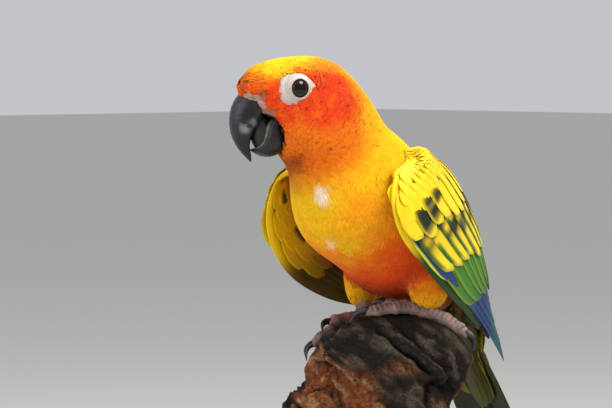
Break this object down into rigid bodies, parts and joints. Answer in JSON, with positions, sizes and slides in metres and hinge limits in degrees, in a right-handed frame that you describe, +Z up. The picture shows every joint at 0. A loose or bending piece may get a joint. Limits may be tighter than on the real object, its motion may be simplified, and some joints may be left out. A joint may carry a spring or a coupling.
{
  "type": "sun conure",
  "caption": "Life-size still model of a sun conure leaning forward on a cut piece of broken log, head in profile, wings held slightly out, on a plain display stand.",
  "frame": {"origin": "bottom centre of the whole model's box, on the underside of the stand's base", "axes": "+Z up; the bird's chest faces -Y and its tail hangs towards +Y; its own left wing is on the +X side; its head is turned 35 degrees to its own right, towards -X"},
  "size_m": [0.124, 0.1594, 0.2217],
  "materials": {
    "feather_yellow": "soft body feathers, golden yellow",
    "feather_orange": "soft body feathers, red-orange of face, neck and thighs",
    "feather_wing": "wing feathers, yellow coverts, green and blue flight feathers",
    "feather_olive": "tail feathers, olive green above, dusky below, blue at the tip",
    "bill_horn": "worn grey-black horn, satin",
    "eye": "wet dark brown eye",
    "foot_skin": "scaly greyish-pink skin",
    "claw_horn": "grey-black horn",
    "log_wood": "weathered bark and torn orange-brown wood, rough",
    "stand_steel": "satin steel",
    "stand_base": "dark satin hardwood"
  },
  "bodies": {
    "root": {"head": "feather_orange", "upper_bill": "bill_horn", "lower_bill": "bill_horn", "tongue": "bill_horn", "eye_left": "eye", "eye_right": "eye", "neck": "feather_orange", "torso": "feather_yellow", "tail": "feather_olive", "wing_left": "feather_wing", "wing_right": "feather_wing", "leg_left": "feather_orange", "foot_left": "foot_skin", "claw_left_front_outer": "claw_horn", "claw_left_front_inner": "claw_horn", "claw_left_back_outer": "claw_horn", "claw_left_back_inner": "claw_horn", "leg_right": "feather_orange", "foot_right": "foot_skin", "claw_right_front_outer": "claw_horn", "claw_right_front_inner": "claw_horn", "claw_right_back_outer": "claw_horn", "claw_right_back_inner": "claw_horn", "perch": "log_wood", "stand_rod_front": "stand_steel", "stand_rod_back": "stand_steel", "stand_base": "stand_base"}
  },
  "joints": []
}
